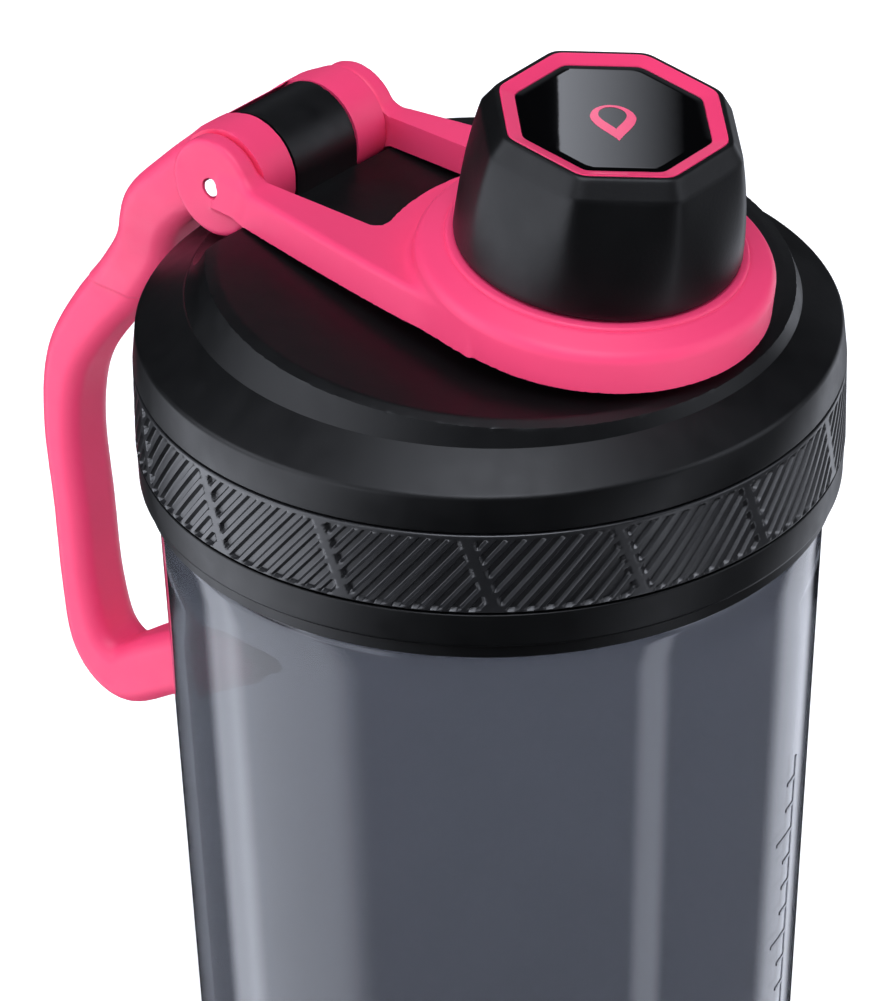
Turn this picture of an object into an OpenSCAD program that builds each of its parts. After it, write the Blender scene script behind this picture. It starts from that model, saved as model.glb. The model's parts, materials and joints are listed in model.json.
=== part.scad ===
// Shaker bottle: tapered cup, screw lid with a grip band, flip arm with a screw cap, and a carry handle.
// The Z axis is the cup's axis, the base stands on Z = 0, the hinge is at -X and the drinking cap at +X.

/* [Cup] */
// Height of the top edge of the lid's grip band above the base
band_top = 190; // [170:1:215]
// Outer radius of the cup at its foot
foot_r = 39; // [36:0.5:42]
// Outer radius of the cup just under the lid
cup_top_r = 46.2; // [45.5:0.1:46.5]
// Thickness of the cup's wall
cup_wall = 1.9; // [1.5:0.1:2.4]
// Thickness of the cup's floor
cup_floor = 4; // [2.5:0.5:6]

/* [Lid] */
// Outer radius of the lid
lid_r = 49; // [48.5:0.1:50]
// Height of the grip band
band_h = 12.7; // [10:0.1:13]
// Depth of the band in its groove
band_t = 1.1; // [0.8:0.1:1.2]
// Radius of the raised deck at its top edge
deck_r = 40.3; // [38:0.1:41]
// Fall of the deck from the hinge to the cap, in degrees
deck_tilt = 4; // [2:0.5:5]
// Rise of the thread in one turn
thread_lead = 8; // [6:0.5:9]

/* [Cap] */
// Lean of the cap towards the front, in degrees
cap_tilt = 8; // [6:0.5:9]
// Distance of the cap's axis from the cup's axis, at the cap's lower edge
cap_x = 19.4; // [18:0.1:20]
// Radius of the cap's round lower edge
cap_r = 19.6; // [19:0.1:20.5]
// Height of the cap
cap_h = 20; // [18:0.5:24]
// Radius of the spout's bore
spout_bore_r = 9.6; // [8:0.1:10]

/* [Arm and handle] */
// Outer radius of the arm's ring
ring_r = 24.5; // [23.5:0.1:25]
// Half the clear width between the two arms
arm_gap = 12.6; // [12.5:0.1:13]
// Radius of the hinge pin
pin_r = 1.5; // [1.25:0.05:2]
// Half the width of the handle's grip
grip_w = 4.7; // [4:0.1:6]

/* [Mixing ball] */
// Radius of the wire ball
ball_r = 24; // [18:0.5:28]
// Radius of its wire
wire_r = 0.9; // [0.7:0.1:1.2]
// Turns of wire from pole to pole
ball_turns = 7; // [5:1:9]

/* [Hidden] */

smoke = [0.36, 0.39, 0.42, 0.6];
black = [0.12, 0.12, 0.13];
pink = [1.0, 0.33, 0.54];
steel = [0.75, 0.76, 0.78];
milky = [0.8, 0.8, 0.78];

round_fn = 96;
run_gap = 0.06;
cut_reach = 30;

// Cup neck and its thread
rim_z = band_top - 18;
neck_r = 43.6;
neck_wall = 1.9;
brim_z = band_top + 1;
brim_round = 0.8;
shoulder_round = 2;
shoulder_z = rim_z - 2.3;
neck_taper = 7;
foot_round = 3;
foot_groove = [27, 32];
foot_groove_deep = 1.2;
floor_round = 6;
thread_starts = 2;
thread_sweep = 200;
thread_step = 8;
thread_tall = 1.4;
cup_thread_r = neck_r + 1.3;
cup_thread_z = rim_z + 6;
lid_thread_r = neck_r + 0.7;
lid_thread_z = cup_thread_z - 2.05;

// Lid shell, liner and gasket
cavity_r = 46.4;
skirt_r = 47.7;
skirt_z = rim_z - 2.1;
liner_r = cavity_r - 0.1;
liner_root_r = liner_r - 1;
plate_z0 = band_top + 3;
plate_z1 = band_top + 5;
crease_r = 41.9;
crease_z = band_top + 9.85;
deck_x = 2.2;
deck_z = band_top + 14.1;
deck_bevel = [1.5, 0.7];
deck_slope = 0.44;
boss_r = 16.2;
shell_base_z = band_top + 6.5;

// Hinge
hinge_x = -36.9;
hinge_z = band_top + 18.8;
barrel_r = 7.6;
barrel_w = 6.1;
washer_r = 7.2;
washer_y0 = barrel_w + 0.06;
washer_y1 = barrel_w + 0.3;
knuckle_y0 = washer_y1 + 0.1;
knuckle_y1 = 12.3;
lug_r = 7.2;
lug_y0 = knuckle_y1 + 0.2;
lug_y1 = 15.6;

// Cap and spout, measured along the cap's leaning axis from its lower edge
cap_z = band_top + 24.1;
crease_h = cap_h - 2.6;
crease_flat_r = 17;
cap_yaw = 1.8;
top_flat_r = 15.4;
spout_r = 12.4;
lip_h = 2.5;
flange_r = 16;
flange_t = 0.8;
flange_z = plate_z0 - 1.8;
flange_x = cap_x - (cap_z - plate_z0) * tan(cap_tilt);
cap_lead = 3.5;
ring_hole_r = 17.4;
ring_low = -8;
ring_top = -0.2;
ring_lip_r = 20.6;
retainer_room_r = 19;
cap_liner_r = 17.1;
cap_liner_in = 15.9;
liner_top = 8.5;
seal_h = lip_h + 0.15;
retainer_h0 = -7.2;
retainer_h1 = -6;
retainer_seat_r = 16.5;
badge_h = cap_h - 1.6;
badge_top = cap_h - 0.6;
trim_top = cap_h + 0.1;
trim_flat_r = 14.8;
badge_flat_r = 12.65;

// Arm plan, as distances from the middle plane
arm_z0 = band_top + 16.6;
arm_z1 = band_top + 21.2;
web_r = 30;

// Handle: X, height from the band's top edge and half thickness along its middle line
handle_line = [[-40, 18.8, 6.2], [-47.5, 13.6, 4.9], [-54.5, 6.5, 4.7], [-59.6, -2.5, 4.4],
               [-65.5, -10.2, 4.3], [-72.6, -18.6, 4.1], [-78.6, -28.5, 3.7], [-80.4, -40, 3.3],
               [-79.2, -54, 3.2], [-78.1, -67, 3.3], [-75.8, -76, 3.9], [-70, -79.2, 4.5],
               [-62, -74.7, 4.8], [-53, -69.5, 4.9], [-42, -64.5, 4.9]];
tip_gap = 1.2;

// Radius of the cup's outer wall at a height
function cup_r(z) = foot_r + (cup_top_r - foot_r) * z / (shoulder_z - shoulder_round);

// Points on an arc round a centre
function arc(cx, cy, r, a0, a1, n = 8) =
    [for (i = [0 : n]) let (a = a0 + (a1 - a0) * i / n) [cx + r * cos(a), cy + r * sin(a)]];

// A smooth curve through four points, at t between the middle two
function spline_at(a, b, c, d, t) =
    0.5 * (2 * b + (c - a) * t + (2 * a - 5 * b + 4 * c - d) * t * t
           + (3 * b - a - 3 * c + d) * t * t * t);

// The smooth curve through a whole list of points, with k steps between neighbours
function spline(p, k = 4) = let (n = len(p) - 1)
    concat([for (i = [0 : n - 1], j = [0 : k - 1])
        spline_at(p[max(i - 1, 0)], p[i], p[i + 1], p[min(i + 2, n)], j / k)], [p[n]]);

// Unit vector to the left of the line from a to b
function left_of(a, b) = let (d = [b[0] - a[0], b[1] - a[1]]) [-d[1], d[0]] / norm(d);

// One side of a strip whose rows hold X, Y and half thickness
function strip_side(p, side) = let (n = len(p) - 1)
    [for (i = [0 : n]) let (v = left_of(p[max(i - 1, 0)], p[min(i + 1, n)]))
        [p[i][0] + side * v[0] * p[i][2], p[i][1] + side * v[1] * p[i][2]]];

// A tube of quads from rings of points, closed at both ends
module skin(rings) {
    n = len(rings[0]);
    m = len(rings) - 1;
    sides = [for (i = [0 : m - 1], j = [0 : n - 1])
        [i * n + j, i * n + (j + 1) % n, (i + 1) * n + (j + 1) % n, (i + 1) * n + j]];
    polyhedron([for (r = rings) each r],
               concat(sides, [[for (j = [n - 1 : -1 : 0]) j]], [[for (j = [0 : n - 1]) m * n + j]]));
}

// One thread ridge that fades in and out at its ends; root and crest are radii
module ridge(root, crest, z0, lead, sweep, tall) {
    steps = sweep / thread_step;
    skin([for (i = [0 : steps])
        let (a = i * thread_step,
             fade = min(1, 0.15 + min(i, steps - i) / 3),
             r1 = root + (crest - root) * fade,
             z = z0 + lead * a / 360,
             c = cos(a), s = sin(a),
             up = crest > root ? 1 : -1)
        [[root * c, root * s, z - up * tall / 2], [r1 * c, r1 * s, z - up * tall / 4],
         [r1 * c, r1 * s, z + up * tall / 4], [root * c, root * s, z + up * tall / 2]]]);
}

// Places children on the cap's leaning axis, with height 0 at the cap's lower edge
module on_cap_axis() {
    translate([cap_x, 0, cap_z]) rotate([0, cap_tilt, 0]) children();
}

// A cylinder along Y on the hinge line
module hinge_bar(r, y0, y1) {
    translate([hinge_x, y1, hinge_z]) rotate([90, 0, 0]) cylinder(r = r, h = y1 - y0, $fn = round_fn);
}

// An octagonal plate that narrows or widens to its top, sized by the radii to its flats
module octagon(flat_r, h0, h1, top_r = 0) {
    translate([0, 0, h0]) rotate([0, 0, 22.5 + cap_yaw])
        cylinder(r1 = flat_r / cos(22.5), r2 = (top_r > 0 ? top_r : flat_r) / cos(22.5),
                 h = h1 - h0, $fn = 8);
}

// Room for the spout's stem, along the cap's axis
module spout_passage() {
    on_cap_axis() translate([0, 0, -cut_reach])
        cylinder(r = spout_r + 0.2, h = cut_reach, $fn = round_fn);
}

module cup() {
    neck_in = neck_r - neck_wall;
    color(smoke) union() {
        rotate_extrude($fn = round_fn) polygon(concat(
            [[0, 0], [foot_groove[0] - 1, 0], [foot_groove[0], foot_groove_deep],
             [foot_groove[1], foot_groove_deep], [foot_groove[1] + 1, 0]],
            arc(foot_r - foot_round, foot_round, foot_round, -90, 0, 6),
            arc(cup_top_r - shoulder_round, shoulder_z - shoulder_round, shoulder_round, 0, 90, 6),
            [[neck_r, shoulder_z]],
            arc(neck_r - brim_round, brim_z - brim_round, brim_round, 0, 90, 4),
            arc(neck_in + brim_round, brim_z - brim_round, brim_round, 90, 180, 4),
            [[neck_in, shoulder_z - 0.8],
             [cup_r(shoulder_z - neck_taper) - cup_wall, shoulder_z - neck_taper]],
            arc(foot_r + 0.5 - cup_wall - floor_round, cup_floor + floor_round, floor_round, 0, -90, 6),
            [[0, cup_floor]]));
        for (i = [0 : thread_starts - 1]) rotate([0, 0, i * 360 / thread_starts])
            ridge(neck_r - 0.3, cup_thread_r, cup_thread_z, thread_lead, thread_sweep, thread_tall);
    }
}

module whisk_ball() {
    steps = ball_turns * 22;
    function on_ball(i) = let (q = 4 + 172 * i / steps, a = 360 * ball_turns * i / steps)
        ball_r * [sin(q) * cos(a), sin(q) * sin(a), -cos(q)];
    color(steel) translate([0, 0, cup_floor + ball_r + wire_r + 0.1])
        skin([for (i = [0 : steps])
            let (p = on_ball(i), t = on_ball(i + 1) - on_ball(i - 1),
                 w = t / norm(t), u = p / norm(p), v = cross(w, u))
            [for (j = [0 : 5]) p + wire_r * (cos(j * 60) * u - sin(j * 60) * v / norm(v))]]);
}

module lid_gasket() {
    color(milky) rotate_extrude($fn = round_fn)
        polygon([[neck_r - 2.4, brim_z + 0.1], [liner_root_r - 0.1, brim_z + 0.1],
                 [liner_root_r - 0.1, plate_z0 - 0.1], [neck_r - 2.4, plate_z0 - 0.1]]);
}

module lid_liner() {
    color(black) union() {
        difference() {
            rotate_extrude($fn = round_fn)
                polygon([[liner_root_r, rim_z + 1], [liner_r, rim_z + 1], [liner_r, plate_z1 - 1.6],
                         [liner_r - 1.3, plate_z1], [0, plate_z1], [0, plate_z0],
                         [liner_root_r, plate_z0]]);
            spout_passage();
        }
        for (i = [0 : thread_starts - 1]) rotate([0, 0, i * 360 / thread_starts])
            ridge(liner_root_r + 0.3, lid_thread_r, lid_thread_z, thread_lead, thread_sweep,
                  thread_tall);
    }
}

// Round body of the lid shell, open below
module shell_body() {
    groove_r = lid_r - band_t;
    rotate_extrude($fn = round_fn) polygon(concat(
        [[cavity_r, skirt_z], [skirt_r, skirt_z], [skirt_r, rim_z]],
        arc(lid_r - 0.8, rim_z + 0.6, 0.6, -90, 0, 4),
        [[lid_r - 0.1, band_top - band_h - 0.2], [groove_r, band_top - band_h],
         [groove_r, band_top], [lid_r, band_top + 0.3]],
        arc(lid_r - 1.6, band_top + 4.6, 1.2, 5, 55, 6),
        [[crease_r, crease_z], [0, crease_z], [0, plate_z1 + 0.1],
         [cavity_r - 1.2, plate_z1 + 0.1], [cavity_r, plate_z1 - 1.5]]));
}

// Raised deck, a low cone on a tilted axis
module deck() {
    skirt = 9;
    intersection() {
        translate([deck_x, 0, deck_z]) rotate([0, deck_tilt, 0]) rotate_extrude($fn = round_fn)
            polygon([[0, -skirt], [deck_r + deck_slope * skirt, -skirt], [deck_r, -deck_bevel[1]],
                     [deck_r - deck_bevel[0], 0], [0, 0]]);
        translate([0, 0, shell_base_z]) cylinder(r = lid_r - 2.5, h = cut_reach, $fn = round_fn);
    }
}

module lid_shell() {
    color(black) difference() {
        union() {
            difference() {
                union() {
                    shell_body();
                    deck();
                    on_cap_axis() translate([0, 0, ring_low - 8])
                        cylinder(r = boss_r, h = 7.6, $fn = round_fn);
                }
                for (m = [0, 1]) mirror([0, m, 0])
                    hinge_bar(barrel_r + 0.5, barrel_w, lug_y1 + 0.6);
            }
            hinge_bar(barrel_r, -barrel_w, barrel_w);
            translate([hinge_x - 6, -barrel_w, shell_base_z])
                cube([6 + barrel_r, 2 * barrel_w, hinge_z - shell_base_z]);
        }
        spout_passage();
        hinge_bar(pin_r, -barrel_w - 1, barrel_w + 1);
    }
}

module grip_band() {
    color(black) difference() {
        translate([0, 0, band_top - band_h + 0.35])
            cylinder(r = lid_r, h = band_h - 0.7, $fn = round_fn);
        translate([0, 0, band_top - band_h])
            cylinder(r = lid_r - band_t + 0.05, h = band_h, $fn = round_fn);
    }
}

module spout() {
    color(black) difference() {
        union() {
            intersection() {
                on_cap_axis() union() {
                    rotate_extrude($fn = round_fn)
                        polygon([[0, -cut_reach], [spout_r, -cut_reach], [spout_r, -0.5],
                                 [spout_r - 1, 1.4], [spout_r - 1.2, lip_h - 0.3],
                                 [spout_r - 1.5, lip_h], [0, lip_h]]);
                    ridge(spout_r - 0.3, spout_r + 0.7, -4.6, cap_lead, 360, 1.2);
                }
                translate([flange_x, 0, flange_z]) cylinder(r = cut_reach, h = 40);
            }
            translate([flange_x, 0, flange_z])
                cylinder(r = flange_r, h = flange_t, $fn = round_fn);
        }
        on_cap_axis() translate([0, 0, -cut_reach])
            cylinder(r = spout_bore_r, h = 2 * cut_reach, $fn = round_fn);
    }
}

module spout_oring() {
    color(milky) translate([flange_x, 0, plate_z0 - 0.95]) difference() {
        cylinder(r = flange_r - 0.4, h = 0.9, $fn = round_fn);
        translate([0, 0, -1]) cylinder(r = spout_r + 0.8, h = 3, $fn = round_fn);
    }
}

module hinge_pin() {
    color(steel) hinge_bar(pin_r, -lug_y1, lug_y1);
}

module hinge_washer_left() {
    color(black) difference() {
        hinge_bar(washer_r, washer_y0, washer_y1);
        hinge_bar(pin_r, barrel_w, lug_y1);
    }
}

module hinge_washer_right() {
    mirror([0, 1, 0]) hinge_washer_left();
}

// Side outline of the handle, drawn with X along X and height along Y
module handle_side() {
    rows = spline(handle_line, 4);
    outer = strip_side(rows, -1);
    inner = strip_side(rows, 1);
    n = len(rows) - 1;
    polygon(concat(outer, [for (i = [n : -1 : 0]) inner[i]]));
}

// Front outline of the handle, drawn with Y along X and height along Y
module handle_front() {
    waist = spline([[knuckle_y1, 30], [knuckle_y1, 10], [10.6, 4], [7.4, -4], [5.4, -12],
                    [grip_w, -22], [grip_w, -100]], 3);
    n = len(waist) - 1;
    polygon(concat(waist, [for (i = [n : -1 : 0]) [-waist[i][0], waist[i][1]]]));
}

module handle() {
    color(pink) difference() {
        union() {
            intersection() {
                translate([0, 20, band_top]) rotate([90, 0, 0])
                    linear_extrude(height = 40) handle_side();
                translate([-100, 0, band_top]) rotate([90, 0, 90])
                    linear_extrude(height = 100) handle_front();
            }
            hinge_bar(barrel_r, knuckle_y0, knuckle_y1);
            hinge_bar(barrel_r, -knuckle_y1, -knuckle_y0);
        }
        hinge_bar(barrel_r + 0.4, -knuckle_y0, knuckle_y0);
        translate([hinge_x - 6.6, -knuckle_y0, band_top])
            cube([20, 2 * knuckle_y0, hinge_z - band_top]);
        hinge_bar(pin_r + run_gap, -lug_y1, lug_y1);
        cylinder(r1 = foot_r + tip_gap, r2 = cup_r(band_top) + tip_gap, h = band_top, $fn = round_fn);
    }
}

// Plan of the two arms and the web that joins them to the ring
module arm_plan() {
    edge = concat([[hinge_x + 1, 16], [-32, 16.4]],
                  spline([[-29, 18], [-12, 21], [4.5, 23.4], [cap_x - 2, ring_r - 0.3]], 3));
    n = len(edge) - 1;
    difference() {
        polygon(concat(edge, [for (i = [n : -1 : 0]) [edge[i][0], -edge[i][1]]]));
        difference() {
            translate([hinge_x - 10, -arm_gap]) square([cut_reach - hinge_x, 2 * arm_gap]);
            translate([cap_x, 0]) circle(r = web_r, $fn = round_fn);
        }
    }
}

module cap_arm() {
    color(pink) difference() {
        union() {
            difference() {
                translate([0, 0, arm_z0]) linear_extrude(height = arm_z1 - arm_z0) arm_plan();
                hinge_bar(barrel_r + 0.3, -lug_y0, lug_y0);
            }
            on_cap_axis() rotate_extrude($fn = round_fn)
                polygon([[0, ring_low], [ring_r, ring_low], [ring_r - 0.3, -3],
                         [ring_r - 1, -2.2], [ring_lip_r + 0.3, -0.8], [ring_lip_r, ring_top],
                         [0, ring_top]]);
            hinge_bar(lug_r, lug_y0, lug_y1);
            hinge_bar(lug_r, -lug_y1, -lug_y0);
        }
        on_cap_axis() translate([0, 0, ring_low - 10])
            cylinder(r = ring_hole_r, h = cut_reach, $fn = round_fn);
        on_cap_axis() translate([0, 0, retainer_h1 + 0.2 - cut_reach])
            cylinder(r = retainer_room_r, h = cut_reach, $fn = round_fn);
        hinge_bar(pin_r + run_gap, -lug_y1 - 1, lug_y1 + 1);
    }
}

module cap_shell() {
    edge = 0.8;
    color(black) on_cap_axis() difference() {
        union() {
            hull() {
                translate([0, 0, 0.15]) cylinder(r = cap_r, h = edge, $fn = 48);
                octagon(crease_flat_r, crease_h - 0.1, crease_h);
            }
            hull() {
                octagon(crease_flat_r, crease_h - 0.1, crease_h);
                octagon(top_flat_r, cap_h - 0.1, cap_h);
            }
        }
        translate([0, 0, -1])
            cylinder(r = cap_liner_r + 0.05, h = liner_top + 1.1, $fn = round_fn);
        cylinder(r = cap_liner_r - 2.6, h = badge_h - 1.6, $fn = round_fn);
        octagon(trim_flat_r + 0.05, badge_h, cap_h + 1);
    }
}

module cap_trim() {
    color(pink) on_cap_axis() difference() {
        octagon(trim_flat_r, badge_h + 0.05, trim_top);
        octagon(badge_flat_r + 0.05, badge_h - 1, badge_top + 0.01);
        octagon(badge_flat_r + 0.05, badge_top, trim_top + 0.01, trim_flat_r - 0.25);
    }
}

module cap_badge() {
    color([0.05, 0.05, 0.055]) on_cap_axis() octagon(badge_flat_r, badge_h + 0.05, badge_top);
}

module cap_liner() {
    color(milky) on_cap_axis() union() {
        difference() {
            translate([0, 0, retainer_h0 - 0.6])
                cylinder(r = cap_liner_r, h = liner_top - retainer_h0 + 0.6, $fn = round_fn);
            translate([0, 0, seal_h - cut_reach])
                cylinder(r = cap_liner_in, h = cut_reach + 1.85, $fn = round_fn);
            translate([0, 0, retainer_h0]) difference() {
                cylinder(r = cut_reach, h = retainer_h1 - retainer_h0);
                cylinder(r = retainer_seat_r, h = 9, center = true, $fn = round_fn);
            }
        }
        ridge(cap_liner_in + 0.3, cap_liner_in - 1.3, -3.6, cap_lead, 360, 1.2);
    }
}

module cap_seal() {
    color(milky) on_cap_axis() translate([0, 0, seal_h])
        cylinder(r = cap_liner_in - 0.7, h = 1.8, $fn = round_fn);
}

module cap_retainer() {
    color(black) on_cap_axis() translate([0, 0, retainer_h0 + 0.05]) difference() {
        cylinder(r = retainer_room_r - 0.4, h = retainer_h1 - retainer_h0 - 0.1, $fn = round_fn);
        translate([0, 0, -1]) cylinder(r = retainer_seat_r + 0.05, h = 5, $fn = round_fn);
        translate([10, -2, -1]) cube([20, 4, 5]);
    }
}

cup();
whisk_ball();
lid_gasket();
lid_liner();
lid_shell();
grip_band();
spout();
spout_oring();
hinge_pin();
hinge_washer_left();
hinge_washer_right();
handle();
cap_arm();
cap_shell();
cap_trim();
cap_badge();
cap_liner();
cap_seal();
cap_retainer();
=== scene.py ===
import json
import math

import bmesh
import bpy
import numpy as np
from mathutils import Matrix, Vector


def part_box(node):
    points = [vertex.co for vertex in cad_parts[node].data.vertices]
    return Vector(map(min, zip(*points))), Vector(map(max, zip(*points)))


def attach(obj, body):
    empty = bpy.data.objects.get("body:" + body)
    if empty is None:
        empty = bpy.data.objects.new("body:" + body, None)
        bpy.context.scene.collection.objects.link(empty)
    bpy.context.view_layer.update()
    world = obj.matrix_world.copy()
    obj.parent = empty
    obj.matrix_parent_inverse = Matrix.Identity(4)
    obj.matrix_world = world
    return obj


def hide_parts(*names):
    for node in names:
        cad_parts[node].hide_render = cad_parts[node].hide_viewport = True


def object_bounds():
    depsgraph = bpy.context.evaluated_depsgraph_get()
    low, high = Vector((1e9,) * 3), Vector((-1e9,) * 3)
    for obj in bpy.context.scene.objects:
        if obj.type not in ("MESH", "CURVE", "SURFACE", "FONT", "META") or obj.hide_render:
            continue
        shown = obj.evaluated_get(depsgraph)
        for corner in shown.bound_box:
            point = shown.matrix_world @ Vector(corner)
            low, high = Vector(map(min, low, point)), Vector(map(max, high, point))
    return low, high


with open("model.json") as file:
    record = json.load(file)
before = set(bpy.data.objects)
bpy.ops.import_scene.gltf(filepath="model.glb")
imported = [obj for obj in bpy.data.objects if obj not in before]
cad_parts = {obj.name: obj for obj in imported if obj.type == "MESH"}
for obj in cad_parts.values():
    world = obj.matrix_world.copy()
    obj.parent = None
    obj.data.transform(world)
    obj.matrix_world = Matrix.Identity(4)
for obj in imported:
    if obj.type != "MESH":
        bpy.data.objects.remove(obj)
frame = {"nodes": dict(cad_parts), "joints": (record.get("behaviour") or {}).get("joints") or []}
cad_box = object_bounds()

# ---------------------------------------------------------------- places, in millimetres
MM = 0.001
JOINT = {j["name"]: j for j in frame["joints"]}


def node_box(name):
    """Lowest and highest corner of a CAD node, in millimetres."""
    lo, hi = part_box(name)
    return np.array(lo) / MM, np.array(hi) / MM


band_lo, band_hi = node_box("grip_band")
BAND_GAP = 0.35                             # between the grip band and its groove's edges
TOP = band_hi[2] + BAND_GAP                 # top edge of the groove; heights are measured from it
LID_R = band_hi[0]
BAND_H = band_hi[2] - band_lo[2] + 2 * BAND_GAP
HX, HZ = np.array(JOINT["arm_open"]["pos_m"])[[0, 2]] / MM - (0, TOP)
CAP_FOOT = np.array(JOINT["cap_turn"]["pos_m"]) / MM - (0, 0, TOP)
CAP_AXIS = np.array(JOINT["cap_turn"]["axis"])
CAP_AXIS = CAP_AXIS / np.linalg.norm(CAP_AXIS)
CAP_SIDE = np.array([CAP_AXIS[2], 0, -CAP_AXIS[0]])
CAP_H = 20.0
PIN_R = 1.5                                 # the hinge pin, and the bores that turn on it
RUN_GAP = 0.06
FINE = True


# ---------------------------------------------------------------- meshes
def new_mesh(name, verts, faces, material, body, replaces=(), slot=None, sharp=32):
    """A mesh from points in millimetres above TOP, riding on a body."""
    verts = np.asarray(verts, float) + (0, 0, TOP)
    mesh = bpy.data.meshes.new(name)
    mesh.from_pydata((verts * MM).tolist(), [], [list(map(int, f)) for f in faces])
    mesh.validate()
    mesh.update()
    mesh.polygons.foreach_set("use_smooth", [True] * len(mesh.polygons))
    if sharp:
        mesh.set_sharp_from_angle(angle=math.radians(sharp))
    mesh.materials.append(material)
    piece = bpy.data.objects.new(name, mesh)
    bpy.context.scene.collection.objects.link(piece)
    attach(piece, body)
    if replaces:
        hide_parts(*replaces)
    return piece


def ring_faces(rows, cols, loop_rows=False):
    """Quads of a grid of points whose rows are closed rings; loop_rows joins the last row to the first."""
    i = np.arange(rows if loop_rows else rows - 1)[:, None]
    j = np.arange(cols)[None, :]
    a, b = i * cols + j, i * cols + (j + 1) % cols
    c, d = (i + 1) % rows * cols + (j + 1) % cols, (i + 1) % rows * cols + j
    return np.stack([a, b, c, d], -1).reshape(-1, 4)


def arc(cx, cy, r, a0, a1, n=8):
    """Points on an arc, its angles in degrees."""
    t = np.radians(np.linspace(a0, a1, n + 1))
    return [(cx + r * math.cos(a), cy + r * math.sin(a)) for a in t]


def full_turn(n):
    """n angles round a circle, in radians."""
    return np.linspace(0, 2 * math.pi, n, endpoint=False)


def polar(r, t, z):
    """Points from a radius, an angle in radians and a height."""
    return np.stack(np.broadcast_arrays(r * np.cos(t), r * np.sin(t), z), -1)


def lathe(name, profile, material, body, around=288, on_axis=None, **more):
    """A closed profile of radius and height, turned round Z, or placed by on_axis."""
    p = np.array(profile, float)
    verts = polar(p[:, :1], full_turn(around), p[:, 1:]).reshape(-1, 3)
    if on_axis:
        verts = on_axis(verts)
    return new_mesh(name, verts, ring_faces(len(p), around, True), material, body, **more)


def on_cap(v):
    """Points given round the cap's axis, with height 0 at the cap's lower edge, in the lid's place."""
    v = np.asarray(v, float)
    return CAP_FOOT + v[:, :1] * CAP_SIDE + v[:, 1:2] * (0, 1, 0) + v[:, 2:] * CAP_AXIS


def spline(points, k=4):
    """The smooth curve through a list of points, with k steps between neighbours."""
    p = np.array(points, float)
    n = len(p) - 1
    out = []
    for i in range(n):
        a, b, c, d = p[max(i - 1, 0)], p[i], p[i + 1], p[min(i + 2, n)]
        for t in np.arange(k) / k:
            out.append(0.5 * (2 * b + (c - a) * t + (2 * a - 5 * b + 4 * c - d) * t * t
                              + (3 * b - a - 3 * c + d) * t ** 3))
    return np.array(out + [p[n]])


# ---------------------------------------------------------------- solids as distance fields
def length(*a):
    return np.sqrt(sum(v * v for v in a))


def cut(a, b, r=0.0):
    """What both solids share, with an edge of radius r."""
    if r <= 0:
        return np.maximum(a, b)
    return np.minimum(-r, np.maximum(a, b)) + length(np.maximum(r + a, 0), np.maximum(r + b, 0))


def join(a, b, r=0.0):
    """Both solids together, with a fillet of radius r."""
    return -cut(-a, -b, r)


def outline(px, py, pts):
    """Signed distance to a closed outline."""
    d = np.full(px.shape, 1e9)
    inside = np.zeros(px.shape, bool)
    for (ax, ay), (bx, by) in zip(pts, np.roll(pts, -1, 0)):
        ex, ey, wx, wy = bx - ax, by - ay, px - ax, py - ay
        t = np.clip((wx * ex + wy * ey) / max(ex * ex + ey * ey, 1e-12), 0, 1)
        d = np.minimum(d, (wx - ex * t) ** 2 + (wy - ey * t) ** 2)
        if ay != by:
            inside ^= ((ay > py) != (by > py)) & (px < ax + (py - ay) * ex / ey)
    return np.where(inside, -1, 1) * np.sqrt(d)


def cap_space(x, y, z):
    """Distance from the cap's axis and height along it."""
    dx, dy, dz = x - CAP_FOOT[0], y - CAP_FOOT[1], z - CAP_FOOT[2]
    h = dx * CAP_AXIS[0] + dz * CAP_AXIS[2]
    s = dx * CAP_SIDE[0] + dz * CAP_SIDE[2]
    return length(s, dy), h


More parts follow.
